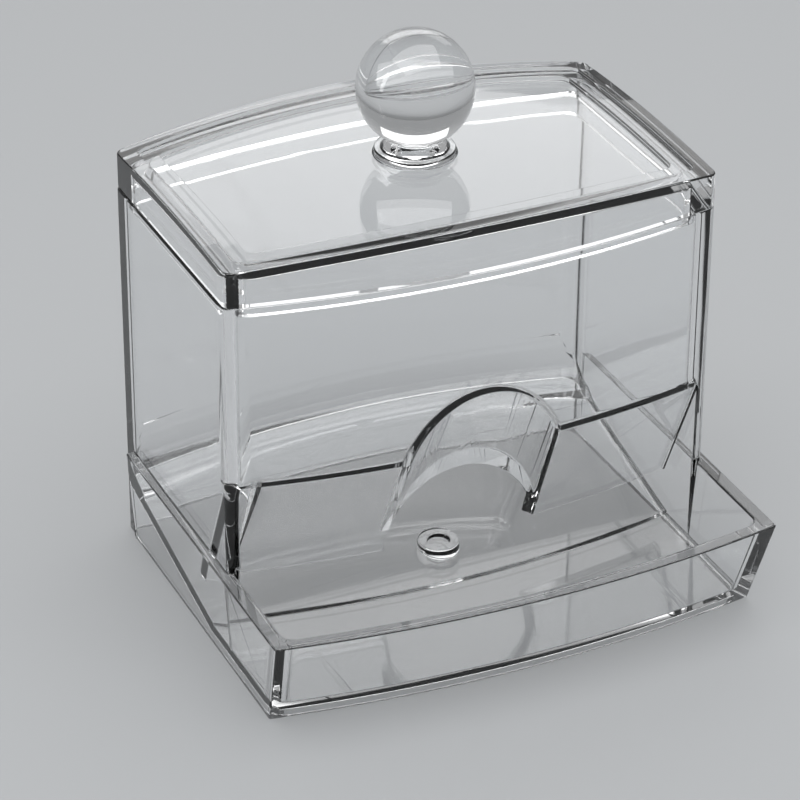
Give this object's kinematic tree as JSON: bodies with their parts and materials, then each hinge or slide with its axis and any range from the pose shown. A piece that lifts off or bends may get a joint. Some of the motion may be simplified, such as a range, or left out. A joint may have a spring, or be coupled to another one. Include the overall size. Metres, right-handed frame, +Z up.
{
  "type": "cotton swab holder",
  "caption": "Clear plastic hopper that feeds cotton swabs down a ramp into a front tray, with an arched finger opening and a domed lid with a ball knob.",
  "frame": {"origin": "on the table under the middle of the whole holder's box", "axes": "+Z up, +Y towards the back wall, so the tray opens towards -Y, and +X across"},
  "size_m": [0.088, 0.0776, 0.0933],
  "materials": {
    "clear_body": "clear polished plastic",
    "clear_lid": "clear polished plastic",
    "clear_knob": "clear polished plastic, solid ball"
  },
  "bodies": {
    "root": {"hopper_tray": "clear_body", "lid": "clear_lid", "ball_knob": "clear_knob"}
  },
  "joints": []
}
